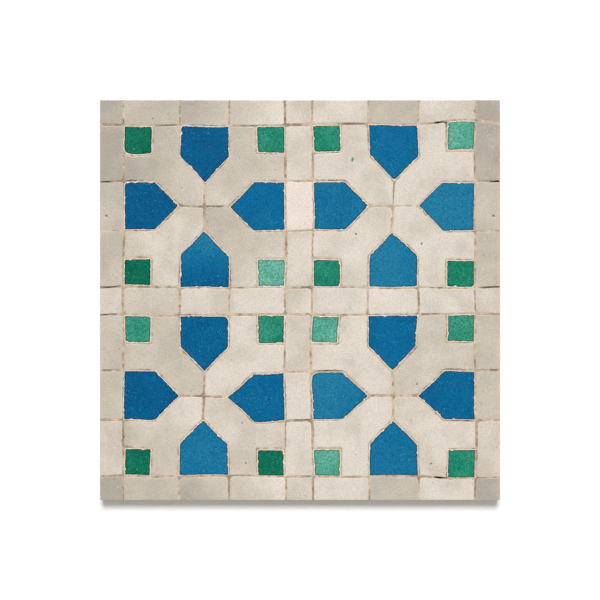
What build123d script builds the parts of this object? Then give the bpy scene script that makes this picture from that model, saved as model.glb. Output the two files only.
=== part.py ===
from build123d import *
import os
from math import atan, copysign, degrees, sqrt

# A square Moroccan mosaic tile. Hand-cut glazed tesserae are set close together in a bed of mortar,
# which also fills the joints between them, and the edges of the tile are then sawn straight.
# The face holds four like motifs. Each has four blue pentagons that point at its centre, a green
# square in each corner, and four cream branches between them. Cream strips frame the motifs, and
# square crossings join the strips. Those along the tile's edge are narrower, because of the saw.
# The origin is the centre of the back, +Z points out of the glazed face and +Y to its upper edge.
# All sizes are in millimetres.

# Sizes of the face
joint = 1.2               # gap between neighbouring tesserae
strip_width = 19.2        # strips between the motifs
edge_strip_width = 17.6   # strips along the tile's edge, as sawn
square_side = 20.3        # green corner squares
arm_width = 19.5          # the two arms of a cream branch that hold a green square
pentagon_width = 36.0     # blue pentagon, across its base
pentagon_length = 41.0    # blue pentagon, from its base to its tip, which is a right angle

# Sizes of the section
tessera_thickness = 11.0
bed_thickness = 9.0       # mortar under the tesserae
joint_recess = 0.8        # depth of the mortar in the joints below the glazed faces
undercut = 1.4            # how far the cut sides of a tessera lean in by its back

# Sizes that follow
half_base = pentagon_width / 2
motif_span = 2 * (square_side + arm_width + half_base) + 4 * joint
motif_reach = motif_span / 2
motif_offset = strip_width / 2 + joint + motif_reach
panel_side = strip_width + 2 * (motif_span + edge_strip_width) + 4 * joint
panel_reach = panel_side / 2
edge_offset = panel_reach - edge_strip_width / 2
face_level = bed_thickness + tessera_thickness
cut_angle = degrees(atan(undercut / tessera_thickness))
saw_allowance = 2 * undercut   # an edge strip is cut this much too wide, and then sawn off
same_line = 1e-6               # two sides closer than this lie on one line

# Turns that take a piece from the east, or the north-east, of a motif to its other sides and corners
sides = {"east": 0, "north": 90, "west": 180, "south": 270}
corners = {"north_east": 0, "north_west": 90, "south_west": 180, "south_east": 270}

# Centres of the motifs, and centre and width of the bands of strips
motifs = {
    "upper_left": (-motif_offset, motif_offset),
    "upper_right": (motif_offset, motif_offset),
    "lower_left": (-motif_offset, -motif_offset),
    "lower_right": (motif_offset, -motif_offset),
}
rows = {
    "top": (edge_offset, edge_strip_width),
    "middle": (0, strip_width),
    "bottom": (-edge_offset, edge_strip_width),
}
columns = {
    "left": (-edge_offset, edge_strip_width),
    "centre": (0, strip_width),
    "right": (edge_offset, edge_strip_width),
}

# The tile's block, which the saw leaves
tile_block = Pos(0, 0, face_level / 2) * Box(panel_side, panel_side, face_level)


def tessera(outline):
    """A tessera with this face outline, whose cut sides lean in towards its back."""
    face = make_face(Polyline(*outline, close=True))
    return Pos(0, 0, face_level) * extrude(face, amount=-tessera_thickness, taper=cut_angle)


def past_the_saw(value):
    """The place of a strip's side. One on the tile's edge is carried past it, for the saw."""
    on_edge = abs(abs(value) - panel_reach) < same_line
    return value + copysign(saw_allowance, value) if on_edge else value


def strip(x, y, width, height):
    """A rectangular tessera centred at x and y, with its sides on the tile's edge sawn upright."""
    left = past_the_saw(x - width / 2)
    right = past_the_saw(x + width / 2)
    low = past_the_saw(y - height / 2)
    high = past_the_saw(y + height / 2)
    return tessera([(left, low), (right, low), (right, high), (left, high)]) & tile_block


def in_motif(piece, motif, turn):
    """A piece drawn about a motif's centre, turned about it and put in its place on the face."""
    x, y = motifs[motif]
    return Pos(x, y, 0) * Rot(0, 0, turn) * piece


def blue_pentagon():
    """The pentagon to the east of a motif's centre, with its tip towards the centre."""
    tip = motif_reach - pentagon_length
    shoulder = tip + half_base
    return tessera([
        (tip, 0),
        (shoulder, -half_base),
        (motif_reach, -half_base),
        (motif_reach, half_base),
        (shoulder, half_base),
    ])


def green_square():
    """The square in the north-east corner of a motif."""
    inner = motif_reach - square_side
    return tessera([
        (inner, inner),
        (motif_reach, inner),
        (motif_reach, motif_reach),
        (inner, motif_reach),
    ])


def cream_branch():
    """The branch to the north-east of a motif's centre, which holds the green square."""
    notch = motif_reach - square_side - joint
    flank = half_base + joint
    middle = joint / 2
    slope = motif_reach - pentagon_length - joint * sqrt(2)   # where the sloping side meets y = 0
    lower_half = [
        (slope + middle, middle),
        (slope + flank, flank),
        (motif_reach, flank),
        (motif_reach, notch),
    ]
    upper_half = [(y, x) for x, y in reversed(lower_half)]
    return tessera([(middle, middle), *lower_half, (notch, notch), *upper_half])


def strips_along():
    """Centre and length of each strip along a band, three beside each motif."""
    side_length = square_side + joint + arm_width
    side_offset = half_base + joint + side_length / 2
    for motif_centre in (-motif_offset, motif_offset):
        yield motif_centre - side_offset, side_length
        yield motif_centre, pentagon_width
        yield motif_centre + side_offset, side_length


def mortar_bed(tesserae):
    """The mortar under and between the tesserae."""
    bed_height = face_level - joint_recess
    bed_block = Pos(0, 0, bed_height / 2) * Box(panel_side, panel_side, bed_height)
    return bed_block - tesserae


# Each node's pieces
nodes = {}
for motif in motifs:
    for side, turn in sides.items():
        nodes[f"blue_pentagon_{motif}_{side}"] = [in_motif(blue_pentagon(), motif, turn)]
    for corner, turn in corners.items():
        nodes[f"green_square_{motif}_{corner}"] = [in_motif(green_square(), motif, turn)]
        nodes[f"cream_branch_{motif}_{corner}"] = [in_motif(cream_branch(), motif, turn)]
for row, (y, height) in rows.items():
    nodes[f"cream_strips_row_{row}"] = [strip(x, y, length, height) for x, length in strips_along()]
    nodes[f"cream_crossings_{row}"] = [strip(x, y, width, height) for x, width in columns.values()]
for column, (x, width) in columns.items():
    nodes[f"cream_strips_column_{column}"] = [strip(x, y, width, length) for y, length in strips_along()]
nodes["mortar_bed"] = [mortar_bed([piece for pieces in nodes.values() for piece in pieces])]

os.makedirs("parts", exist_ok=True)
for name, pieces in nodes.items():
    solids = [solid for piece in pieces for solid in piece.solids()]
    export_step(solids[0] if len(solids) == 1 else Compound(children=solids), f"parts/{name}.step")
print(f"{len(nodes)} nodes, tile {panel_side:.2f} x {panel_side:.2f} x {face_level:.2f} mm")
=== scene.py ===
# %% [markdown]
# # A Moroccan mosaic tile
# A square panel of zellige. Glazed clay is cut by hand with a sharp hammer into small pieces, called
# tesserae, and these are set close together in mortar to make a pattern. The CAD model has every
# tessera at its true place, with straight sides. This script dresses it: it gives each piece its
# hand-cut edge and its glaze. Loading the frame first lets every later size come from the CAD model.

# %% Load the CAD model
import math
import random
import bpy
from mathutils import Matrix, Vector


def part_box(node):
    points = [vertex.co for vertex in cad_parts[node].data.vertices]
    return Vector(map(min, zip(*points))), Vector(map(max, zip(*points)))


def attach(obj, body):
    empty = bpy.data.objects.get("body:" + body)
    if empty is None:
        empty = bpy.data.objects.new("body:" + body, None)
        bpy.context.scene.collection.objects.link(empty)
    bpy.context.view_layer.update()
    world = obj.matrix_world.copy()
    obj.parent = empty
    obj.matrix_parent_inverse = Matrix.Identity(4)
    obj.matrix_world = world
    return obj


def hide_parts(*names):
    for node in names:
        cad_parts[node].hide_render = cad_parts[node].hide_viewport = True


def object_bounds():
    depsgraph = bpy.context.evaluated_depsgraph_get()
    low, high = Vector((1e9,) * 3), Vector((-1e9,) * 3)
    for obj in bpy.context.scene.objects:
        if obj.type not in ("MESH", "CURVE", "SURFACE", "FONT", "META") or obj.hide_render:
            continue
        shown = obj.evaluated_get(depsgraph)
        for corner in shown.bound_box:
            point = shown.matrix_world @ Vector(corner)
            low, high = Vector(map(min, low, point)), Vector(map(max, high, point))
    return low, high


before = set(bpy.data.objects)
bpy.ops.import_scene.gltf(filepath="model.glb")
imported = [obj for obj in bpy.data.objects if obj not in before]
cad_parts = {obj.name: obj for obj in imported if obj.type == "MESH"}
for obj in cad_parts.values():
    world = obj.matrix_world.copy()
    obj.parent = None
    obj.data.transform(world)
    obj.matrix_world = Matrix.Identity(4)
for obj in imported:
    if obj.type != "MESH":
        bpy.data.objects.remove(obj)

from types import SimpleNamespace

import bmesh
import bpy
import numpy as np
from mathutils import Vector, noise
from mathutils.geometry import delaunay_2d_cdt
from mathutils.kdtree import KDTree

mm = 0.001
scene = bpy.context.scene
cad_low, cad_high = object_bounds()
panel_reach = cad_high.x
face_level = cad_high.z
bed_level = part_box("cream_crossings_top")[0].z
thickness = face_level - bed_level
print(f"tile {2 * panel_reach / mm:.1f} mm square and {face_level / mm:.1f} mm thick")
print(f"{len(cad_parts)} nodes")

# %% [markdown]
# ## The camera
# The photograph looks straight down on the tile, which fills two thirds of the picture. A camera with
# no rotation already looks down with +Y up, so only its height has to be found. A long lens, from far
# away, sees every piece from nearly straight above, so the joints look alike all over the tile.

# %% Camera
picture_width = 450 * mm
lens = 150
sensor = 36
camera_data = bpy.data.cameras.new("camera")
camera_data.lens = lens
camera_data.sensor_width = sensor
camera = bpy.data.objects.new("camera", camera_data)
camera.location = (0, 0, face_level + picture_width * lens / sensor)
scene.collection.objects.link(camera)
scene.camera = camera
scene.view_settings.view_transform = "Standard"
print(f"camera {camera.location.z:.3f} m above the floor")

# %% [markdown]
# ## Light and floor
# A studio picture of a flat thing needs even light and one soft shadow. A sun lamp with a wide disc
# stands above the upper edge, so the shadow is short and lies under the lower edge, and a pale world
# fills in the rest. Their strengths add up to one, so that a colour renders as it is written. The
# floor is white, and it gives camera rays a little light of its own so that it doesn't look grey.

# %% Light and floor
world_share = 0.30
sun_height = math.radians(69)
sun_disc = math.radians(16)
floor_white = (0.95, 0.95, 0.95, 1)
floor_glow = 0.08
floor_reach = 4.0
floor_drop = 0.2 * mm
square_corners = ((-1, -1), (1, -1), (1, 1), (-1, 1))

world = bpy.data.worlds.new("studio")
world.use_nodes = True
world.node_tree.nodes["Background"].inputs["Color"].default_value = (1, 1, 1, 1)
world.node_tree.nodes["Background"].inputs["Strength"].default_value = world_share
scene.world = world

sun_data = bpy.data.lights.new("sun", "SUN")
sun_data.energy = (1 - world_share) * math.pi / math.sin(sun_height)
sun_data.angle = sun_disc
sun = bpy.data.objects.new("sun", sun_data)
sun.rotation_euler = (sun_height - math.pi / 2, 0, 0)
scene.collection.objects.link(sun)

floor_mesh = bpy.data.meshes.new("floor")
floor_corners = [(x * floor_reach, y * floor_reach, -floor_drop) for x, y in square_corners]
floor_mesh.from_pydata(floor_corners, [], [(0, 1, 2, 3)])
floor = bpy.data.objects.new("floor", floor_mesh)
scene.collection.objects.link(floor)

floor_paint = bpy.data.materials.new("white_floor")
floor_paint.use_nodes = True
tree = floor_paint.node_tree
tree.nodes.clear()
ray = tree.nodes.new("ShaderNodeLightPath")
white = tree.nodes.new("ShaderNodeBsdfDiffuse")
white.inputs["Color"].default_value = floor_white
glow = tree.nodes.new("ShaderNodeEmission")
seen = tree.nodes.new("ShaderNodeMath")
seen.operation = "MULTIPLY"
seen.inputs[1].default_value = floor_glow
both = tree.nodes.new("ShaderNodeAddShader")
output = tree.nodes.new("ShaderNodeOutputMaterial")
tree.links.new(ray.outputs["Is Camera Ray"], seen.inputs[0])
tree.links.new(seen.outputs[0], glow.inputs["Strength"])
tree.links.new(white.outputs[0], both.inputs[0])
tree.links.new(glow.outputs[0], both.inputs[1])
tree.links.new(both.outputs[0], output.inputs["Surface"])
floor_mesh.materials.append(floor_paint)
print(f"sun {math.degrees(sun_height):.0f} degrees up, world {world_share:.2f} of the light")

# %% [markdown]
# ## The outlines of the tesserae
# Each tessera starts from the outline of its face in the CAD model, so that none is drawn twice. A
# node's mesh is cut into triangles, and its outline is what is left when the edges that two face
# triangles share are dropped. A node of strips has several outlines, and these are put in order, from
# left to right or from top to bottom, so that a piece can be named by its place.

# %% Read the outlines
same_place = 1e-6


def face_outlines(node):
    """The outlines of a node's glazed faces, each an array of corners in counter-clockwise order."""
    bm = bmesh.new()
    bm.from_mesh(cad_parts[node].data)
    bmesh.ops.remove_doubles(bm, verts=bm.verts, dist=same_place)
    face = [f for f in bm.faces if min(v.co.z for v in f.verts) > face_level - same_place]
    follows = {}
    for f in face:
        for loop in f.loops:
            if sum(other in face for other in loop.edge.link_faces) == 1:
                follows[loop.vert] = loop.link_loop_next.vert
    outlines = []
    while follows:
        vert = next(iter(follows))
        corners = []
        while vert in follows:
            corners.append(vert.co.xy)
            vert = follows.pop(vert)
        turns = [
            (b - a).normalized().cross((c - b).normalized())
            for a, b, c in zip(corners[-1:] + corners[:-1], corners, corners[1:] + corners[:1])
        ]
        outlines.append(np.array([c for c, turn in zip(corners, turns) if abs(turn) > 0.01]))
    bm.free()
    return sorted(outlines, key=lambda outline: (outline[:, 0] - outline[:, 1]).mean())


outlines = {}
for node in sorted(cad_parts):
    if node != "mortar_bed":
        found = face_outlines(node)
        for number, outline in enumerate(found, 1):
            outlines[node if len(found) == 1 else f"{node}.{number}"] = outline
print(f"{len(outlines)} outlines, with {sorted({len(o) for o in outlines.values()})} corners")

# %% [markdown]
# ## Batches of glaze
# Zellige is fired in small kilns, and no two batches come out alike. In this tile the blues run from
# deep cobalt to a chalky mid blue, the greens from bottle green to pale sea green, and the creams
# from grey taupe to nearly white. Each tessera gets a tone from 0, the darkest of its colour, to 1,
# the palest. The pieces that stand out are listed by batch, and the rest take the usual tone.

# %% Batches
usual_tone = {"blue": 0.45, "green": 0.45, "cream": 0.66}
tone_spread = 0.03
batches = {
    0.02: """cream_crossings_top. 1 3, cream_crossings_bottom. 1 3, cream_strips_column_left. 1,
             cream_strips_column_right. 1""",
    0.06: "blue_pentagon_ upper_left_north upper_left_west lower_left_west",
    0.08: """green_square_ upper_left_north_west upper_left_south_west lower_left_south_west
             lower_left_south_east""",
    0.20: "cream_strips_row_bottom. 2",
    0.22: "blue_pentagon_ lower_left_north",
    0.27: """cream_strips_row_top. 1 2 5, cream_strips_row_bottom. 5,
             cream_branch_ upper_left_north_west""",
    0.34: "blue_pentagon_ lower_left_east lower_right_east, green_square_ upper_right_south_east",
    0.36: """cream_strips_column_left. 2 3 4 5, cream_strips_column_right. 2 3 4 5,
             cream_strips_row_bottom. 1, cream_branch_ lower_left_north_west""",
    0.43: "cream_branch_ upper_left_north_east upper_left_south_east, cream_strips_row_middle. 1",
    0.51: "cream_branch_ lower_right_north_east, cream_strips_column_right. 6",
    0.55: """cream_crossings_top. 2, cream_crossings_middle. 1 3, cream_crossings_bottom. 2,
             cream_strips_row_top. 3, cream_strips_row_middle. 2, cream_strips_row_bottom. 3,
             cream_strips_column_left. 6, cream_strips_column_centre. 4,
             cream_branch_ upper_left_south_west lower_left_south_east lower_left_south_west,
             green_square_ lower_right_north_east""",
    0.60: """green_square_ lower_left_north_west, cream_branch_ lower_right_south_east,
             cream_strips_row_middle. 3, cream_strips_row_bottom. 4""",
    0.64: "blue_pentagon_ upper_right_west lower_right_south",
    0.72: "blue_pentagon_ lower_left_south",
    0.88: "green_square_ upper_right_north_east lower_right_north_west lower_right_south_west",
    0.95: "blue_pentagon_ upper_right_east upper_right_south lower_right_west",
    0.98: "cream_strips_column_centre. 2",
    1.00: "green_square_ upper_left_south_east",
}
# how much paler a tessera is on its right and on its upper side
fired_unevenly = {
    "blue_pentagon_upper_left_south": (0.0, 0.8),
    "blue_pentagon_upper_right_south": (-0.4, 0.0),
    "blue_pentagon_lower_right_west": (-0.3, 0.1),
    "cream_branch_upper_left_north_west": (0.4, -0.1),
    "cream_branch_upper_left_north_east": (0.1, -0.2),
    "cream_branch_upper_left_south_east": (0.2, -0.2),
    "cream_branch_lower_left_south_west": (0.2, 0.1),
    "cream_crossings_middle.2": (0.3, -0.1),
    "cream_strips_row_top.2": (0.2, -0.3),
    "cream_strips_row_bottom.2": (0.2, 0.3),
    "cream_strips_row_top.3": (0.2, -0.2),
    "cream_strips_row_bottom.3": (0.2, 0.2),
    "cream_strips_column_left.1": (0.1, -0.1),
    "cream_strips_column_right.1": (-0.1, -0.1),
}


def by_name(values):
    """The value of each tessera, from lists that give a kind of tessera and then its places."""
    found = {}
    for value, kinds in values.items():
        for kind in kinds.split(","):
            start, *places = kind.split()
            found.update({start + place: value for place in places})
    return found


tone_of = by_name(batches)
unknown = (set(tone_of) | set(fired_unevenly)) - set(outlines)
print(f"{len(tone_of)} tesserae from odd batches, {len(unknown)} names that aren't there")

# %% [markdown]
# ## Cutting the outlines by hand
# A cutter holds the clay on an anvil and chips it to a drawn line, so a side is never quite on its
# line and a corner never quite sharp. One matrix does the sampling: each of its rows says how much of
# each corner goes into one point of the outline, along a side or round a corner. Multiplied by the
# corners moved inwards, the same matrix gives a ring of matching points, so rings join up as quads.

# %% Tools for outlines
step = 0.5 * mm          # between points along an outline
corner_points = 6        # round each corner


def inset(corners, distances):
    """The corners of an outline with each side moved inwards by its own distance."""
    ahead = np.roll(corners, -1, axis=0) - corners
    ahead /= np.linalg.norm(ahead, axis=1, keepdims=True)
    moved = np.stack([-ahead[:, 1], ahead[:, 0]], axis=1) * np.asarray(distances)[:, None]
    before, moved_before = np.roll(ahead, 1, axis=0), np.roll(moved, 1, axis=0)
    gap = moved - moved_before
    reach = gap[:, 0] * ahead[:, 1] - gap[:, 1] * ahead[:, 0]
    reach /= before[:, 0] * ahead[:, 1] - before[:, 1] * ahead[:, 0]
    return corners + moved_before + before * reach[:, None]


def sampling(corners, rounding):
    """The matrix that turns an outline's corners into points along it, with rounded corners."""
    count = len(corners)
    length = np.linalg.norm(np.roll(corners, -1, axis=0) - corners, axis=1)
    rows = []
    for k in range(count):
        after = (k + 1) % count
        cut_back, cut_on = rounding[k] / length[k - 1], rounding[k] / length[k]
        for turn in np.linspace(0, 1, corner_points) if rounding[k] else [0.0]:
            row = np.zeros(count)
            row[k - 1] = (1 - turn) ** 2 * cut_back
            row[after] = turn**2 * cut_on
            row[k] = 1 - row[k - 1] - row[after]
            rows.append(row)
        cut_after = rounding[after] / length[k]
        steps = max(1, round(length[k] * (1 - cut_on - cut_after) / step))
        for share in np.linspace(cut_on, 1 - cut_after, steps + 1)[1:-1]:
            row = np.zeros(count)
            row[k] = 1 - share
            row[after] = share
            rows.append(row)
    return np.array(rows)


print(f"points every {step / mm:.1f} mm along an outline, {corner_points} round a corner")

# %% [markdown]
# Two more tools work on points. One tells which points lie inside an outline, by counting how many of
# its sides are crossed on the way out to the right. The other is smooth noise, for all that is uneven.

# %% Tools for points
def inside(points, corners):
    """Which of the points lie inside an outline."""
    x, y = points[:, :1], points[:, 1:2]
    x0, y0 = corners.T
    x1, y1 = np.roll(x0, -1), np.roll(y0, -1)
    spans = (y0 > y) != (y1 > y)
    rise = np.where(y1 == y0, 1, y1 - y0)
    return ((x < x0 + (y - y0) * (x1 - x0) / rise) & spans).sum(axis=1) % 2 == 1


def roughness(points, size, seed):
    """Smooth noise from about -1 to 1 at each point, with lumps of about this size."""
    return np.array([noise.noise(Vector((x / size, y / size, seed))) for x, y in points[:, :2]])


whole_tile = panel_reach * np.array(square_corners)
print("the tile's centre lies inside its edge:", inside(np.zeros((1, 2)), whole_tile)[0])

# %% [markdown]
# The cut itself is a few small accidents. Each side lies a little inside or outside its line, each
# corner a little off its place, some pieces came out small and a few lost a corner. The sides on the
# edge of the tile were sawn, and so were those along the right column and the bottom row, which were
# set against the finished pattern, so they stay straight. These values say how far the cutter missed.

# %% How the cutter missed the line
side_off = {"blue": (-0.58, -0.20), "green": (-0.53, -0.09), "cream": (-0.28, 0.32)}     # out, in
trim_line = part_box("green_square_upper_right_north_east")[1].x
trim_off = 0.15 * mm
trim_rounding = 0.3 * mm
# how much smaller than the others a tessera was cut, on every side, in millimetres, or larger below 0
cut_small = by_name({
    0.6: "green_square_ lower_left_south_west",
    0.4: "green_square_ upper_right_south_east",
    0.35: "green_square_ lower_left_south_east lower_left_north_west lower_right_south_west",
    0.25: "green_square_ upper_right_south_west upper_left_south_west",
    0.2: "green_square_ upper_right_north_east",
    -0.15: "blue_pentagon_ lower_left_west",
    -0.2: "green_square_ upper_left_north_west, blue_pentagon_ upper_left_north upper_right_north",
    -0.25: "blue_pentagon_ upper_left_south lower_left_east lower_right_east",
})
skew = 0.20 * mm
ragged, ragged_size = 0.3 * mm, 2.2 * mm
corner_cut = {"blue": (0.3, 1.4), "green": (0.5, 2.0), "cream": (0.8, 3.4)}
broken_corners = {
    "blue_pentagon_upper_left_north": ((-1, 1), 3.4),
    "blue_pentagon_upper_left_west": ((-1, 1), 4.0),
    "blue_pentagon_lower_left_north": ((1, 1), 5.4),
    "blue_pentagon_lower_right_west": ((-1, 1), 6.0),
    "green_square_upper_left_north_west": ((-1, -1), 4.2),
    "green_square_upper_right_south_west": ((1, 1), 3.6),
    "green_square_upper_right_north_west": ((-1, -1), 3.2),
}
print(f"{len(cut_small)} tesserae cut to another size, {len(broken_corners)} with a broken corner")

# %% [markdown]
# Then the pieces are set by eye, so the rows wander by a millimetre or two, and by four in one corner,
# and neighbours wander together. One smooth field over the whole tile says how far each place has
# moved: the widest wanders are listed, as soft bumps, and noise gives the rest. At the edge of the
# tile the field fades out, because the saw left a straight line there.

# %% How the rows wander
off_centre = np.array((-0.7, -0.7))     # the saw took more off the left and lower sides
# where, how far and how wide the rows wander, in millimetres
wanders = [
    ((126, 126), (0.4, 4.1), 16),
    ((50, 122), (0.0, 1.2), 28),
    ((126, 20), (0.3, -1.2), 14),
    ((126, -21), (0.4, 1.2), 14),
    ((126, -126), (0.4, -1.7), 16),
    ((30, -48), (-1.6, -0.5), 26),
    ((-40, -57), (0.1, -1.8), 22),
    ((-73, -110), (-1.0, 1.1), 20),
    ((-122, 50), (0.5, 0.8), 26),
    ((-71, -29), (0.0, -1.4), 14),
    ((29, 71), (1.1, 0.0), 14),
    ((21, -21), (-1.4, 0.0), 11),
    ((21, 121), (0.0, 0.8), 11),
    ((-121, 111), (0.0, -1.6), 7),
    ((-29, -89), (0.0, -1.3), 8),
    ((-52, -71), (-1.2, 0.0), 7),
    ((90, -71), (-1.2, 0.0), 7),
    ((52, -71), (1.2, 0.0), 7),
    ((-71, 90), (0.0, -1.2), 7),
    ((-71, 52), (0.0, 1.2), 7),
    ((70, 50), (-1.2, -1.0), 9),
    ((70, -51), (-0.9, -0.6), 9),
    ((88, -30), (-1.0, 0.0), 12),
    ((70, -130), (0.0, 0.9), 14),
    ((-122, -130), (0.0, 1.0), 12),
    ((128, -95), (0.9, 0.0), 24),
]
drift_noise = ((0.9, 40 * mm, 60), (0.4, 17 * mm, 80))     # how far, how wide, and the noise's seed
drift_fade = 14 * mm


def drift(points):
    """How far the pieces wander from the true grid at each point, and not across the tile's edge."""
    moved = np.tile(off_centre, (len(points), 1))
    for place, far, wide in wanders:
        away = np.linalg.norm(points / mm - place, axis=1) / wide
        moved += np.exp(-(away**2) / 2)[:, None] * far
    for far, wide, seed in drift_noise:
        across, up = roughness(points, wide, seed), roughness(points, wide, seed + 9)
        moved += far * np.column_stack([across, up])
    return moved * mm * np.clip((panel_reach - abs(points)) / drift_fade, 0, 1)


farthest = max(math.hypot(*far) for place, far, wide in wanders)
print(f"{len(wanders)} wanders, the farthest {farthest:.1f} mm")

# %% [markdown]
# With both kinds of accident at hand, a tessera is cut in one go: its sides are moved, its corners
# shifted and rounded, its outline roughened and the whole of it carried along by the field. Every
# tessera draws its accidents from a random source seeded with its own name, so each run cuts the
# same tile.

# %% Cut the tesserae
def cut_by_hand(name, corners):
    """One tessera: its hand-cut corners, the points along them and the way inwards at each point."""
    rng = random.Random(name)
    colour = name.split("_")[0]
    along = abs(corners - np.roll(corners, -1, axis=0)) < same_place
    on_edge = abs(abs(corners) - panel_reach) < same_place
    on_trim = (abs(corners - (trim_line, -trim_line)) < same_place) & (not on_edge.any())
    sawn = (on_edge & np.roll(on_edge, -1, axis=0) & along).any(axis=1)
    trimmed = (on_trim & np.roll(on_trim, -1, axis=0) & along).any(axis=1)
    offsets = np.array([0 if s else rng.uniform(*side_off[colour]) * mm for s in sawn])
    offsets = np.where(trimmed, trim_off, offsets + cut_small.get(name, 0) * mm)
    cut = inset(corners, offsets)
    cut = cut + [[rng.uniform(-skew, skew), rng.uniform(-skew, skew)] for corner in corners]
    cut = np.where(on_edge, corners, cut)
    rounding = [0 if edge.any() else rng.uniform(*corner_cut[colour]) * mm for edge in on_edge]
    rounding = np.where(on_trim.any(axis=1), np.minimum(rounding, trim_rounding), rounding)
    if name in broken_corners:
        towards, size = broken_corners[name]
        rounding[int((corners @ np.array(towards)).argmax())] = size * mm
    matrix = sampling(cut, rounding)
    points = matrix @ cut
    straight = sawn | trimmed
    inwards = matrix @ (inset(cut, np.where(straight, 0, mm)) - cut) / mm
    from_saw = matrix @ (inset(cut, np.where(straight, mm, 0)) - cut) / mm
    seed = rng.uniform(0, 50)
    points = points + ragged * inwards * abs(roughness(points, ragged_size, seed + 3))[:, None]
    tone = tone_of.get(name, usual_tone[colour]) + rng.uniform(-tone_spread, tone_spread)
    return SimpleNamespace(
        name=name, colour=colour, rng=rng, seed=seed, corners=cut + drift(cut),
        points=points + drift(points), inwards=inwards, from_saw=from_saw, tone=min(max(tone, 0), 1),
    )


tesserae = [cut_by_hand(name, corners) for name, corners in outlines.items()]
print(f"{len(tesserae)} tesserae cut, {sum(len(t.points) for t in tesserae)} points on their outlines")

# %% [markdown]
# ## The body of a tessera
# Seen from the side, a tessera is a slab of clay with a skin of glaze. The glaze ends a little short
# of the edge, where the hammer flaked it off, and the bare clay slopes away below it. The cut sides
# lean in towards the back, so that neighbours come close only at the face. Six rings make it: three
# on the glaze, one on the clay edge, one down the side and one round the back.

# %% Rings of a tessera
undercut = 1.4 * mm
glaze_short = {"blue": 0.42 * mm, "green": 0.48 * mm, "cream": 0.08 * mm}
glaze_short_sawn = 0.08 * mm
fine_bite, fine_size = 0.28 * mm, 0.9 * mm
deep_bite = {"blue": 1.7 * mm, "green": 1.7 * mm, "cream": 1.2 * mm}
deep_size, deep_from = 2.4 * mm, 0.16
face_tilt = 0.003
face_sunk = (0.05, 0.30)     # below the CAD model's face, in millimetres
face_wave, wave_size = 0.07 * mm, 15 * mm
glaze_rings = ((0.9, 0), (0.3, 0.012), (0, 0.05))     # in from the glaze's edge, and how low
sawn_bite = 0.4
clay_drop, clay_fall = 0.08 * mm, 0.35
clay_bite = {"blue": 0.25, "green": 0.25, "cream": 0.8}
side_level = 2.5 * mm


def face_height(t, points):
    """The height of a tessera's face: level, slightly tilted, slightly wavy."""
    tilted = t.level + (points[:, :2] - t.middle) @ t.tilt
    return tilted + face_wave * roughness(points, wave_size, t.seed)


def make_rings(t):
    """Adds a tessera's six rings of points, from the glaze to the back."""
    t.middle = t.points.mean(axis=0)
    t.tilt = np.array([t.rng.uniform(-face_tilt, face_tilt), t.rng.uniform(-face_tilt, face_tilt)])
    t.level = face_level - t.rng.uniform(*face_sunk) * mm
    bite = fine_bite * abs(roughness(t.points, fine_size, t.seed))
    bite += deep_bite[t.colour] * np.maximum(roughness(t.points, deep_size, t.seed + 7) - deep_from, 0)

    def ring(in_from_cut, in_from_saw, height):
        flat = t.points + t.inwards * np.reshape(in_from_cut, (-1, 1))
        flat = flat + t.from_saw * np.reshape(in_from_saw, (-1, 1))
        level = height if np.ndim(height) or height else face_height(t, flat)
        return np.column_stack([flat, np.broadcast_to(level, len(flat))])

    short, short_sawn = glaze_short[t.colour] + bite, glaze_short_sawn + sawn_bite * bite
    t.rings = []
    for further, drop in glaze_rings:
        t.rings.append(ring(short + further * mm, short_sawn + further * mm, 0))
        t.rings[-1][:, 2] -= drop * mm
    clay_level = t.rings[2][:, 2] - clay_drop - clay_fall * bite
    t.rings.append(ring(clay_bite[t.colour] * bite, 0, clay_level))
    t.rings.append(ring(undercut * side_level / thickness, 0, face_level - side_level))
    t.rings.append(ring(undercut, 0, bed_level))


for t in tesserae:
    make_rings(t)
rings = [ring for t in tesserae for ring in t.rings]
print(f"{sum(len(ring) for ring in rings)} points in {len(rings)} rings")

# %% [markdown]
# ## Pits and flecks
# A glazed face has small faults: pits where a bubble burst in the kiln or a grain fell out, and flecks
# where a drop of another glaze landed. The ones that the eye finds are placed where they are on the
# tile, and smaller pits are strewn over every face. Each is a few rings of extra points in the face,
# sunk or raised, so that it is part of the shape and not only of the colour.

# %% Pits and flecks
pit_every = 420 * mm * mm
small_pit = (0.18, 0.42)
# place on the face in millimetres from its centre, then the size across
placed_pits = [
    (42.0, 49.5, 1.9), (-99.0, 139.8, 0.9), (-145.2, 63.2, 2.3), (145.2, 63.2, 2.3),
    (-96.6, 124.6, 1.0), (-45.3, 107.0, 0.9), (-89.0, 84.0, 0.9), (-69.4, 58.9, 1.2),
    (-138.2, 33.6, 1.0), (137.4, 33.5, 1.0), (42.0, -116.0, 1.1), (98.2, -122.6, 1.9),
    (83.1, -90.0, 0.8), (-109.9, -28.6, 1.1), (-43.3, -92.2, 1.4), (-40.7, -122.3, 1.6),
    (-135.4, -36.9, 0.8), (-100.7, -44.0, 0.9), (-81.5, -68.1, 0.9), (-137.0, -7.0, 0.8),
]
# the same, then the length and the width
placed_flecks = [
    (39.4, 105.5, 4.4, 1.9), (91.2, 42.2, 2.3, 1.8),
    (87.8, -62.8, 2.2, 1.5), (-110.4, 136.2, 1.6, 1.6),
]
placed_depth, small_depth, fleck_height = 0.2, 0.25, 0.05 * mm     # the first two as shares of the size
marks_apart = 1.6
mark_rings = ((0, 1), (0.55, 7), (1, 10), (1.5, 12))


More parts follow.
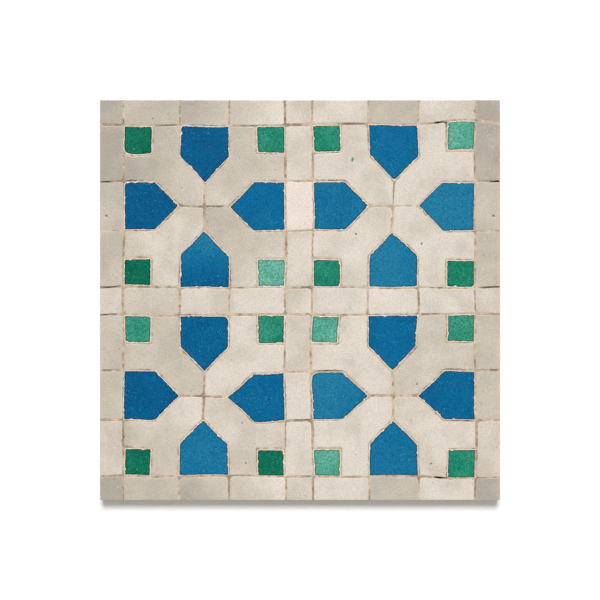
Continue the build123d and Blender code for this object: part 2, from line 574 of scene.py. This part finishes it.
def mark(kind, x, y, length, width, depth):
    """The points of a pit or fleck, how deep each lies and how much of the mark it shows."""
    points, depths, shows = [], [], []
    for share, count in mark_rings:
        for n in range(count):
            angle = 2 * math.pi * n / count + share
            right, up = share * width / 2 * math.cos(angle), share * length / 2 * math.sin(angle)
            points.append((x + right, y + up))
            depths.append(depth * max(0, 1 - share**2))
            shows.append(1.0 if share < 0.9 else 0.0)
    return SimpleNamespace(kind=kind, middle=np.array((x, y)), reach=length, points=np.array(points),
                           depths=np.array(depths), shows=np.array(shows))


def marks_on(t):
    """The pits and flecks on one tessera, clear of its edge and of each other."""
    wanted = []
    for x, y, size in placed_pits:
        wanted.append(mark("pit", x * mm, y * mm, size * mm, size * mm, placed_depth * size * mm))
    for x, y, length, width in placed_flecks:
        wanted.append(mark("fleck", x * mm, y * mm, length * mm, width * mm, -fleck_height))
    low, high = t.points.min(axis=0), t.points.max(axis=0)
    for n in range(round((high - low).prod() / pit_every)):
        x, y = t.rng.uniform(low[0], high[0]), t.rng.uniform(low[1], high[1])
        size = 2 * t.rng.uniform(*small_pit) * mm
        wanted.append(mark("pit", x, y, size, size, small_depth * size))
    kept = []
    for m in wanted:
        apart = all(np.linalg.norm(m.middle - k.middle) > marks_apart * (m.reach + k.reach) for k in kept)
        if apart and inside(m.points, t.rings[0][:, :2]).all():
            kept.append(m)
    return kept


for t in tesserae:
    t.marks = marks_on(t)
counts = {kind: sum(m.kind == kind for t in tesserae for m in t.marks) for kind in ("pit", "fleck")}
print(f"{counts['pit']} pits and {counts['fleck']} flecks")

# %% [markdown]
# ## Meshing a tessera
# The innermost ring is filled with a Delaunay triangulation of the ring, a grid of points and the
# points of the marks, which gives even triangles that can follow the waves in the face. The grid
# stays clear of the ring and of the marks, so that no triangle is a sliver.

# %% Points for the face
grid = 1.8 * mm
merge = 1e-8


def fill(ring, inner=()):
    """Triangles over a closed ring of points and the points inside it, as numbers into both together."""
    flat = [Vector(p) for p in ring[:, :2]] + [Vector(p) for p in inner]
    made = delaunay_2d_cdt(flat, [], [list(range(len(ring)))], 1, merge)
    source = [origins[0] for origins in made[3]]
    return [[source[v] for v in face] for face in made[2]]


def grid_points(t):
    """Points over a tessera's face in staggered rows, clear of its edge and its marks."""
    room = inset(t.corners, [glaze_short[t.colour] + 0.9 * mm + 0.7 * grid] * len(t.corners))
    low, high = room.min(axis=0), room.max(axis=0)
    rows = np.arange(low[1], high[1], grid * math.sqrt(3) / 2)
    along = np.arange(low[0], high[0], grid)
    spots = np.array([(x + (n % 2) * grid / 2, y) for n, y in enumerate(rows) for x in along])
    edge = t.rings[0][:, :2]
    clear = np.linalg.norm(spots[:, None] - edge, axis=2).min(axis=1) > 0.5 * grid
    spots = spots[inside(spots, room) & inside(spots, edge) & clear]
    for m in t.marks:
        spots = spots[np.linalg.norm(spots - m.middle, axis=1) > 0.75 * m.reach + 0.4 * grid]
    return spots


print(f"{len(grid_points(tesserae[0]))} grid points on {tesserae[0].name}")

# %% [markdown]
# The rings are joined with quads, and the back is filled as the face is. Each point also keeps four
# numbers for the shader: its batch tone, its distance in from the edge of the glaze, and if a pit or
# a fleck shows there.

# %% Mesh of a tessera
ring_depth = (0.9, 0.3, 0.0, -0.6, -2.0, -6.0)     # in from the edge of the glaze, in millimetres
inner_depth = 3.0


def mesh_parts(t):
    """The points, faces and shader numbers of one tessera."""
    spots = grid_points(t)
    inner = np.concatenate([spots] + [m.points for m in t.marks])
    sunk = np.concatenate([np.zeros(len(spots))] + [m.depths for m in t.marks])
    points = np.concatenate(t.rings + [np.column_stack([inner, face_height(t, inner) - sunk])])
    size, turns = len(t.points), np.arange(len(t.points))
    quads = []
    for upper in range(len(t.rings) - 1):
        a, b = upper * size + turns, (upper + 1) * size + turns
        quads += np.stack([a, b, np.roll(b, -1), np.roll(a, -1)], axis=1).tolist()
    offset = (len(t.rings) - 1) * size
    face = [[v if v < size else v + offset for v in tri] for tri in fill(t.rings[0], inner)]
    back = [[v + offset for v in reversed(tri)] for tri in fill(t.rings[-1])]
    depth = np.concatenate([np.repeat(ring_depth, size), np.full(len(inner), inner_depth)])
    rings_zero, spots_zero = np.zeros(len(t.rings) * size), np.zeros(len(spots))
    shown = {
        kind: np.concatenate([rings_zero, spots_zero] + [m.shows * (m.kind == kind) for m in t.marks])
        for kind in ("pit", "fleck")
    }
    glazed = 2 * size
    across = (points[:, :2] - t.middle) / (np.linalg.norm(np.ptp(t.points, axis=0)) / 2)
    tone = t.tone + across @ fired_unevenly.get(t.name, (0, 0))
    return SimpleNamespace(points=points, faces=face + quads + back, smooth=len(face) + glazed,
                           depth=depth, pit=shown["pit"], fleck=shown["fleck"], tone=np.clip(tone, 0, 1))


parts = {t.name: mesh_parts(t) for t in tesserae}
print(f"{sum(len(p.faces) for p in parts.values())} faces in {len(parts)} tesserae")

# %% [markdown]
# ## Building the objects
# Every CAD node of tesserae is replaced by one object with the same pieces in it. The first faces of
# a tessera are its glaze, which is shaded smooth. The broken clay and the sides stay flat shaded, so
# that they look chipped, and so that the edge of the glaze stays crisp.


def build(node, islands):
    """One object made of these tesserae, standing for a CAD node."""
    mesh = bpy.data.meshes.new(node)
    starts = np.cumsum([0] + [len(p.points) for p in islands])
    faces = [[v + int(start) for v in face] for start, p in zip(starts, islands) for face in p.faces]
    mesh.from_pydata(np.concatenate([p.points for p in islands]).tolist(), [], faces)
    smooth = np.concatenate([np.arange(len(p.faces)) < p.smooth for p in islands])
    mesh.polygons.foreach_set("use_smooth", smooth)
    for key in ("tone", "depth", "pit", "fleck"):
        layer = mesh.attributes.new(key, "FLOAT", "POINT")
        values = np.concatenate([getattr(p, key) for p in islands])
        layer.data.foreach_set("value", values.astype(np.float32))
    piece = bpy.data.objects.new(node + "_zellige", mesh)
    scene.collection.objects.link(piece)
    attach(piece, "root")
    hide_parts(node)
    return piece


pieces = {}
for node in sorted(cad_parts):
    islands = [p for name, p in parts.items() if name.split(".")[0] == node]
    if islands:
        pieces[node] = build(node, islands)
print(f"{len(pieces)} objects, {sum(len(p.data.polygons) for p in pieces.values())} faces")

# %% [markdown]
# ## The mortar
# The mortar is one pour: a bed under the tesserae, and thin walls between them that end a little
# below the glaze. It stands higher beside the blue and green pieces, where the photograph shows a
# pale line, and a tree of their outline points tells how near the next one is. The finish also paints
# mortar that stands high lighter. In a few joints the mortar is worn, and in some near the edge it has
# fallen out and a deep gap is left, which the finish darkens nearly to black with painted shadow.

# %% Where the mortar ends
mortar_recess = {"blue": 0.32 * mm, "green": 0.12 * mm, "cream": 0.60 * mm}
beside = 2.5 * mm        # within this distance of a coloured piece the mortar stands higher
recess_waves = ((1.1 * mm, 15 * mm, 3.3), (0.6 * mm, 3 * mm, 5.7))     # how deep, how wide, the seed
mortar_highest = 0.10 * mm
# middle of an open or worn joint, its half length, its half width and its depth, in millimetres
open_joints = [
    (105.8, 131.8, 5.5, 2.4, 6.0), (105.8, -131.8, 5.5, 2.4, 6.0),
    (-147.5, 88.0, 6.0, 2.4, 3.8), (147.5, 88.0, 6.0, 2.4, 3.4),
    (-143.0, 9.5, 10.0, 2.4, 2.5), (143.0, 9.5, 10.0, 2.4, 2.3),
    (40.5, 131.2, 13.0, 2.4, 1.35), (-100.5, 130.8, 12.0, 2.4, 1.35), (21.5, -53.0, 13.0, 2.4, 1.5),
]

coloured = [(p, t.colour) for t in tesserae if t.colour != "cream" for p in t.points]
near_colour = KDTree(len(coloured))
for number, (p, colour) in enumerate(coloured):
    near_colour.insert((*p, 0), number)
near_colour.balance()


def recess_at(point):
    """How far the mortar is wiped down at a point, by the colour of the piece beside it."""
    place, number, distance = near_colour.find((point[0], point[1], 0))
    return mortar_recess[coloured[number][1] if distance < beside else "cream"]


def mortar_depth(points):
    """How far below the glazed faces the mortar ends at each point."""
    waves = sum(deep * roughness(points, wide, seed) for deep, wide, seed in recess_waves)
    depth = np.maximum([recess_at(p) for p in points] + waves, mortar_highest)
    for x, y, half_length, half_width, deep in open_joints:
        along, across = abs(points[:, 0] / mm - x) / half_length, abs(points[:, 1] / mm - y) / half_width
        depth = np.where(across < 1, np.maximum(depth, deep * mm * (1 - along**2)), depth)
    return depth


print(f"{len(coloured)} points on coloured outlines, {len(open_joints)} open or worn joints")

# %% [markdown]
# The upper edge of the mortar follows the side of every tessera, a bit deeper here and shallower
# there. A triangulation over the whole face then finds the joints: it cuts the square of the tile
# along all these edges at once, and the joints are the part that no tessera covers.

# %% Find the joints
least_drop = 0.04 * mm     # the least that the mortar lies below the clay's edge


def mortar_edge(t):
    """The ring where the mortar meets a tessera's side."""
    clay, back = t.rings[3], t.rings[5]
    level = np.minimum(face_level - mortar_depth(clay), clay[:, 2] - least_drop)
    share = (clay[:, 2] - level) / (clay[:, 2] - bed_level)
    return clay + (back - clay) * share[:, None]


edges = [mortar_edge(t) for t in tesserae]
backs = [t.rings[5] for t in tesserae]
owner = np.repeat(np.arange(len(edges)), [len(e) for e in edges])
rim = np.concatenate(edges)
square = [Vector((x * panel_reach, y * panel_reach)) for x, y in square_corners]
starts = np.cumsum([0] + [len(e) for e in edges]).tolist()
loops = [list(range(a, b)) for a, b in zip(starts, starts[1:])]
whole = len(loops)
made = delaunay_2d_cdt([Vector(p) for p in rim[:, :2]] + square, [],
                       loops + [list(range(len(rim), len(rim) + 4))], 1, merge)
source = [min(origins) if origins else -1 for origins in made[3]]
bare = [face for face, under in zip(made[2], made[5]) if list(under) == [whole]]
joints = [[source[v] for v in face] for face in bare]
print(f"{len(joints)} triangles in the joints, {source.count(-1)} places where tesserae touch")

# %% [markdown]
# A joint is a narrow strip of triangles from one tessera to the next. A point in the middle of each
# edge that crosses it lets the mortar sink there, as it does when it is wiped and shrinks, and crack
# here and there. A triangle with two such edges is cut in three, and one with three is cut in four.

# %% Mesh of the mortar
joint_sag = 0.16 * mm
joint_grain, grain_size = 0.10 * mm, 0.8 * mm
crack_deep, crack_size = 1.7 * mm, 3 * mm

points = [tuple(p) for p in rim] + [tuple(p) for ring in backs for p in ring]
middles = {}


def middle_of(a, b):
    """The number of the point in the middle of a joint, between two points on its sides."""
    key = (min(a, b), max(a, b))
    if key not in middles:
        x, y, z = (rim[a] + rim[b]) / 2
        grain = joint_grain * noise.noise(Vector((x, y, 0)) / grain_size)
        crack = crack_deep * max(0, noise.noise(Vector((x, y, mm)) / crack_size))
        middles[key] = len(points)
        points.append((x, y, z - joint_sag + grain - crack))
    return middles[key]


faces = []
for tri in joints:
    crossing = [owner[a] != owner[b] for a, b in zip(tri, tri[1:] + tri[:1])]
    if sum(crossing) == 2:
        lone = crossing.index(False) + 2
        p, q, r = (tri[(lone + n) % 3] for n in range(3))
        pq, rp = middle_of(p, q), middle_of(r, p)
        faces += [(p, pq, rp), (pq, q, r), (pq, r, rp)]
    elif sum(crossing) == 3:
        p, q, r = tri
        pq, qr, rp = middle_of(p, q), middle_of(q, r), middle_of(r, p)
        faces += [(p, pq, rp), (pq, q, qr), (rp, qr, r), (pq, qr, rp)]
    else:
        faces.append(tuple(tri))
joint_faces = len(faces)
print(f"{joint_faces} faces on the joints, {len(middles)} points in their middles")

# %% [markdown]
# Walls lead from the joints down to the beds of the tesserae, and each bed has the outline of a
# tessera's back. There is no wall along the edge of the tile, where a tessera's own side shows.

# %% Walls and beds of the mortar
on_saw = (abs(abs(rim[:, :2]) - panel_reach) < same_place)
for start, end in zip(starts, starts[1:]):
    for a in range(start, end):
        b = a + 1 if a + 1 < end else start
        if not (on_saw[a] & on_saw[b] & (abs(rim[a, :2] - rim[b, :2]) < same_place)).any():
            faces.append((a, b, b + len(rim), a + len(rim)))
for start, ring in zip(starts, backs):
    faces += [tuple(v + start + len(rim) for v in tri) for tri in fill(ring)]
print(f"{len(faces) - joint_faces} faces in the walls and beds")

# %% [markdown]
# The outside and the back close the mortar. The outside hangs from the rim that is still open, which
# is found as the edges that only one face uses, and the back is a slightly rough sheet of triangles.
# Points that no face uses are left out, so that nothing loose stays in the mesh.

# %% Outside and back of the mortar
back_grid, back_rough = 5 * mm, 0.25 * mm
unshaded_depth = 0.8              # depth in millimetres at which the painted shade leaves the mortar its own colour

used = {(a, b) for face in faces for a, b in zip(face, face[1:] + face[:1])}
follows = {a: b for a, b in used if (b, a) not in used}
rim_loop = [min(follows)]
for turn in range(len(follows) - 1):
    rim_loop.append(follows[rim_loop[-1]])
foot = {v: len(points) + n for n, v in enumerate(rim_loop)}
points += [(points[v][0], points[v][1], 0.0) for v in rim_loop]
top_faces = len(faces)
faces += [(b, a, foot[a], foot[b]) for a, b in follows.items()]
side_faces = len(faces)

foot_ring = np.array([points[foot[v]] for v in rim_loop])
places = np.arange(-panel_reach + back_grid, panel_reach - back_grid / 2, back_grid)
spread = np.array([(x, y) for x in places for y in places])
spread_start = len(points)
back_faces = fill(foot_ring[::-1], spread)
lift = back_rough * abs(roughness(spread, 3 * back_grid, 9.1))
points += [(x, y, z) for (x, y), z in zip(spread, lift)]
order = [foot[v] for v in rim_loop[::-1]] + [spread_start + n for n in range(len(spread))]
faces += [tuple(order[v] for v in reversed(tri)) for tri in back_faces]
kept = sorted({v for face in faces for v in face})
renumber = {v: n for n, v in enumerate(kept)}
points = [points[v] for v in kept]
faces = [[renumber[v] for v in face] for face in faces]

mortar_mesh = bpy.data.meshes.new("mortar_bed")
mortar_mesh.from_pydata(points, [], faces)
mortar_mesh.polygons.foreach_set("use_smooth", np.arange(len(faces)) < joint_faces)
sunk = mortar_mesh.attributes.new("sunk", "FLOAT", "POINT")
levels = np.array(points)[:, 2]
depths = np.where(levels > bed_level + mm, (face_level - levels) / mm, unshaded_depth)
sunk.data.foreach_set("value", depths.astype(np.float32))
mortar = bpy.data.objects.new("mortar_bed_cast", mortar_mesh)
scene.collection.objects.link(mortar)
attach(mortar, "root")
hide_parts("mortar_bed")
print(f"mortar of {len(points)} points and {len(faces)} faces")
print(f"rim of {len(rim_loop)} of {len(follows)} open edges")

# %% [markdown]
# When the tile is exported, each finish is baked into a picture, and a UV map says where on the picture
# every face lies. Seen from above, the joints, their walls and the beds never cover one another, so a
# plain view from above is a good map for them, and it gives the thin joints most of the picture. The
# four outer sides become strips above it, and the back a small square in the corner.

# %% A map for the mortar
map_top, map_back, map_end = 0.74, 0.23, 0.99
strip_start, strip_step = 1.02, 0.075

point_of_corner = np.concatenate([np.array(face) for face in faces])
of_face = np.repeat(np.arange(len(faces)), [len(face) for face in faces])
x, y, z = (np.array(points) / (2 * panel_reach))[point_of_corner].T
middle_x, middle_y = ((np.bincount(of_face, w) / np.bincount(of_face))[of_face] for w in (x, y))
on_x = abs(middle_x) > abs(middle_y)
strip = 2 * on_x + (np.where(on_x, middle_x, middle_y) > 0)
kinds = [of_face < top_faces, of_face < side_faces]
along, up = np.where(on_x, y, x) + 0.5, strip_start + strip_step * strip + z
u = np.select(kinds, [map_top * (x + 0.5), map_top * along], map_end + map_back * (x - 0.5))
v = np.select(kinds, [map_top * (y + 0.5), map_top * up], map_end + map_back * (y - 0.5))
mortar_map = mortar_mesh.uv_layers.new(name="OFBake")
mortar_map.uv.foreach_set("vector", np.column_stack([u, v]).astype(np.float32).ravel())
print(f"map from {min(u.min(), v.min()):.2f} to {max(u.max(), v.max()):.2f}")

# %% [markdown]
# ## Tools for finishes
# The finishes are made of nodes: noise for clouds and mottling, cells for specks, and ramps between
# colours. Colours are written as a picture editor shows them, and turned into the linear numbers that
# the shader works with. Patterns are placed by the object's own coordinates, in metres, so a pattern's
# size is a real size, and neighbouring tesserae never repeat each other.

# %% Tools for finishes
def paint(red, green, blue):
    """A colour given by three numbers up to 255, as the linear colour that nodes take."""
    shares = [c / 255 for c in (red, green, blue)]
    return [c / 12.92 if c <= 0.04045 else ((c + 0.055) / 1.055) ** 2.4 for c in shares] + [1]


class Finish:
    """A material in the making, with short calls for the nodes that these finishes use."""

    def __init__(self, name):
        self.material = bpy.data.materials.new(name)
        self.material.use_nodes = True
        self.nodes = self.material.node_tree.nodes
        self.shader = self.nodes["Principled BSDF"]
        self.place = self.nodes.new("ShaderNodeTexCoord").outputs["Object"]

    def put(self, socket, value):
        """Links an output to a socket, or sets the socket's own number or colour."""
        if isinstance(value, bpy.types.NodeSocket):
            self.material.node_tree.links.new(value, socket)
        else:
            socket.default_value = value

    def node(self, kind, inputs, **settings):
        """A new node with these settings, and with its inputs linked or set."""
        made = self.nodes.new("ShaderNode" + kind)
        for key, value in settings.items():
            setattr(made, key, value)
        for key, value in inputs.items():
            self.put(made.inputs[key], value)
        return made

    def kept(self, name):
        """A number that the mesh keeps at each of its points."""
        return self.node("Attribute", {}, attribute_name=name).outputs["Fac"]

    def clouds(self, size, seed, detail=3.0):
        """Soft noise around 0.5, with lumps of this size."""
        inputs = {"Vector": self.place, "W": seed, "Scale": 1 / size, "Detail": detail}
        return self.node("TexNoise", inputs, noise_dimensions="4D").outputs["Fac"]

    def specks(self, size, seed, radius, share):
        """1 in round specks, one in some of the cells of this size, and 0 elsewhere."""
        inputs = {"Vector": self.place, "W": seed, "Scale": 1 / size}
        cells = self.node("TexVoronoi", inputs, voronoi_dimensions="4D")
        chosen = self.node("SeparateColor", {"Color": cells.outputs["Color"]}).outputs["Red"]
        near = self.between(cells.outputs["Distance"], radius / size, 0.6 * radius / size)
        return self.math("MULTIPLY", near, self.math("LESS_THAN", chosen, share))

    def between(self, value, start, end, low=0.0, high=1.0):
        """low where the value is at start, high where it is at end, and a smooth change between."""
        inputs = {"Value": value, "From Min": start, "From Max": end, "To Min": low, "To Max": high}
        return self.node("MapRange", inputs, interpolation_type="SMOOTHSTEP").outputs["Result"]

    def math(self, operation, first, second):
        """Two numbers put together."""
        return self.node("Math", {0: first, 1: second}, operation=operation).outputs[0]

    def mix(self, share, first, second, blend="MIX"):
        """The first colour with this share of the second over it."""
        inputs = {0: share, 6: first, 7: second}
        return self.node("Mix", inputs, data_type="RGBA", blend_type=blend).outputs[2]

    def ramp(self, value, stops):
        """A colour that changes with the value, through these stops."""
        made = self.node("ValToRGB", {"Fac": value})
        elements = made.color_ramp.elements
        while len(elements) < len(stops):
            elements.new(0.5)
        for element, (position, colour) in zip(elements, stops):
            element.position = position
            element.color = colour
        return made.outputs["Color"]

    def done(self, colour, rough, height, depth):
        """Puts the colour, the roughness and the bumps on the shader."""
        bump = self.node("Bump", {"Height": height, "Distance": depth})
        self.put(self.shader.inputs["Base Color"], colour)
        self.put(self.shader.inputs["Roughness"], rough)
        self.put(self.shader.inputs["Normal"], bump.outputs["Normal"])
        return self.material


print("a finish has", ", ".join(k for k in vars(Finish) if not k.startswith("_")))

# %% [markdown]
# ## Bare clay
# Where the hammer has flaked the glaze off, and on the sides, the biscuit shows: a pale peach
# earthenware, matt and a little sandy. All three glazes share it. It lies where a point is outside the
# edge of the glaze, so one number from the mesh decides between clay and glaze.

# %% Clay under every glaze
glaze_shine = 0.16


def over_clay(finish, glaze, glaze_rough, glaze_height, glaze_bump):
    """The finished material: glaze on the face, clay on the chipped edge and the sides."""
    ragged_edge = finish.between(finish.clouds(0.6 * mm, 1.7), 0.3, 0.7, -0.1, 0.1)
    edge = finish.math("ADD", finish.kept("depth"), ragged_edge)
    bare = finish.between(edge, -0.03, -0.13)
    clay = finish.ramp(finish.clouds(2.5 * mm, 4.1), [
        (0.3, paint(226, 200, 176)),
        (0.5, paint(252, 234, 217)),
        (0.7, paint(255, 246, 235)),
    ])
    clay = finish.mix(finish.specks(1.3 * mm, 2.2, 0.22 * mm, 0.5), clay, paint(168, 132, 102))
    colour = finish.mix(bare, glaze, clay)
    rough = finish.math("MAXIMUM", glaze_rough, finish.between(bare, 0, 1, 0.0, 0.9))
    grit = finish.between(finish.clouds(0.5 * mm, 5.5), 0.2, 0.8, 0.0, 5.0)
    height = finish.math("ADD", glaze_height, finish.math("MULTIPLY", bare, grit))
    finish.put(finish.shader.inputs["Specular IOR Level"], glaze_shine)
    return finish.done(colour, rough, height, glaze_bump)


print(f"glaze with a specular level of {glaze_shine}")

# %% [markdown]
# ## The coloured glazes
# Cobalt and copper glazes are strong stains in a clear glass. They pool and thin as they melt, so the
# colour is cloudy, with a fine mottling where the glass is speckled with bubbles, and a slightly
# darker line where it gathers at the edge. Pale specks are bubbles that broke. Blue and green are made
# alike, with their own colours.

# %% Blue and green glaze
def coloured_glaze(name, stops, pale, pit, mottling, bubbly, seed):
    """A stained glaze: its batch colour, clouded, mottled, specked and darker at the edge."""
    finish = Finish(name)
    cloud = finish.between(finish.clouds(14 * mm, seed, 4.0), 0.3, 0.7, -0.10, 0.10)
    colour = finish.ramp(finish.math("ADD", finish.kept("tone"), cloud), stops)
    mottle = finish.clouds(0.9 * mm, seed + 1, 3.0)
    mottle = finish.between(mottle, 0.25, 0.75, 1 - mottling, 1 + mottling)
    colour = finish.mix(1.0, colour, mottle, "MULTIPLY")
    edge = finish.between(finish.kept("depth"), 0.0, 1.1, 0.32, 1.0)
    colour = finish.mix(1.0, colour, edge, "MULTIPLY")
    crowd = finish.between(finish.clouds(16 * mm, seed + 2), 0.38, 0.58)
    bubbles = finish.math("MULTIPLY", finish.specks(1.3 * mm, seed + 3, 0.42 * mm, 0.5), crowd)
    colour = finish.mix(finish.math("MULTIPLY", bubbles, bubbly), colour, pale)
    colour = finish.mix(finish.kept("pit"), colour, pit)
    rough = finish.between(finish.clouds(6 * mm, seed + 4), 0.3, 0.7, 0.08, 0.16)
    return over_clay(finish, colour, rough, finish.clouds(2.4 * mm, seed + 5), 0.02 * mm)


blue_glaze = coloured_glaze("blue_glaze", [
    (0.0, paint(0, 88, 135)),
    (0.45, paint(4, 105, 151)),
    (1.0, paint(32, 123, 160)),
], paint(104, 174, 196), paint(120, 160, 166), 0.37, 0.62, 11.0)
green_glaze = coloured_glaze("green_glaze", [
    (0.0, paint(6, 106, 80)),
    (0.45, paint(30, 134, 107)),
    (0.88, paint(88, 168, 145)),
    (1.0, paint(106, 178, 158)),
], paint(140, 205, 182), paint(170, 196, 168), 0.50, 0.40, 31.0)
print("made", blue_glaze.name, green_glaze.name)

# %% [markdown]
# ## The cream glaze
# The white of zellige is a thin glaze over the clay, which shines through as warm cream, and greyer or
# pinker where the kiln was. So a tessera is not one colour: soft patches drift a little to grey-green and
# to rose, and faint dirt lies in the fine roughness. The few green flecks are drops of the other glaze.

# %% Cream glaze
def cream_finish():
    """The cream glaze: its batch colour, with soft patches, specks and drops."""
    finish = Finish("cream_glaze")
    cloud = finish.between(finish.clouds(19 * mm, 50.0, 5.0), 0.3, 0.7, -0.12, 0.12)
    colour = finish.ramp(finish.math("ADD", finish.kept("tone"), cloud), [
        (0.0, paint(181, 172, 160)),
        (0.36, paint(203, 194, 178)),
        (0.55, paint(215, 204, 190)),
        (0.66, paint(224, 215, 202)),
        (1.0, paint(242, 228, 216)),
    ])
    patches = finish.clouds(16 * mm, 51.0, 4.0)
    colour = finish.mix(finish.between(patches, 0.50, 0.75), colour, paint(252, 252, 249), "MULTIPLY")
    colour = finish.mix(finish.between(patches, 0.48, 0.25), colour, paint(255, 252, 250), "MULTIPLY")
    mottle = finish.between(finish.clouds(1.1 * mm, 53.0, 4.0), 0.25, 0.75, 0.87, 1.11)
    colour = finish.mix(1.0, colour, mottle, "MULTIPLY")
    flakes = finish.math("MULTIPLY", finish.specks(1.8 * mm, 57.0, 0.5 * mm, 0.12), 0.6)
    colour = finish.mix(flakes, colour, paint(246, 240, 230))
    dirt = finish.math("MULTIPLY", finish.specks(1.3 * mm, 54.0, 0.34 * mm, 0.22), 0.55)
    colour = finish.mix(dirt, colour, paint(150, 128, 104))
    colour = finish.mix(finish.kept("pit"), colour, paint(126, 104, 82))
    colour = finish.mix(finish.between(finish.kept("fleck"), 0.05, 0.45), colour, paint(58, 168, 138))
    rough = finish.between(finish.clouds(7 * mm, 55.0), 0.3, 0.7, 0.12, 0.22)
    return over_clay(finish, colour, rough, finish.clouds(2.8 * mm, 56.0), 0.02 * mm)


cream_glaze = cream_finish()
print("made", cream_glaze.name)

# %% [markdown]
# ## The mortar's finish
# Lime and sand: pale tan, matt and grainy, with darker grains and a whiter bloom in places. Shade
# is painted by depth: the depth that the mesh keeps at each point makes the colour lighter where the
# mortar stands high and darker where it lies deep, first to brown in a worn joint and then, as painted
# shadow, nearly to black in an open one.

# %% Mortar finish
def mortar_finish():
    """Sandy lime mortar."""
    finish = Finish("mortar")
    colour = finish.ramp(finish.clouds(5 * mm, 71.0, 4.0), [
        (0.3, paint(182, 160, 134)),
        (0.5, paint(204, 185, 160)),
        (0.72, paint(224, 208, 188)),
    ])
    # painted shade by depth: mortar that stands high is painted lighter, and deeper mortar darker
    painted_depth_shade = finish.between(finish.kept("sunk"), 0.25, 1.5, 1.18, 0.66)
    colour = finish.mix(1.0, colour, painted_depth_shade, "MULTIPLY")
    # painted shadow: where the mortar lies deeper than about 2 mm, in the open joints, it is darkened
    # nearly to black
    gap = finish.between(finish.kept("sunk"), 1.8, 4.5, 1.0, 0.25)
    colour = finish.mix(1.0, colour, gap, "MULTIPLY")
    grains = finish.between(finish.clouds(0.5 * mm, 72.0, 2.0), 0.3, 0.7, 0.82, 1.10)
    colour = finish.mix(1.0, colour, grains, "MULTIPLY")
    colour = finish.mix(finish.specks(1.1 * mm, 73.0, 0.26 * mm, 0.3), colour, paint(128, 108, 88))
    finish.put(finish.shader.inputs["Specular IOR Level"], 0.1)
    rough = finish.between(grains, 0.82, 1.10, 0.95, 0.85)
    return finish.done(colour, rough, finish.clouds(0.6 * mm, 74.0, 3.0), 0.15 * mm)


finishes = {"blue": blue_glaze, "green": green_glaze, "cream": cream_glaze}
for node, piece in pieces.items():
    piece.data.materials.append(finishes[node.split("_")[0]])
mortar_mesh.materials.append(mortar_finish())
print(f"finishes on {len(pieces) + 1} objects")

# %% [markdown]
# The dressed tile has to fill the CAD model's box and not grow out of it by more than a hair.
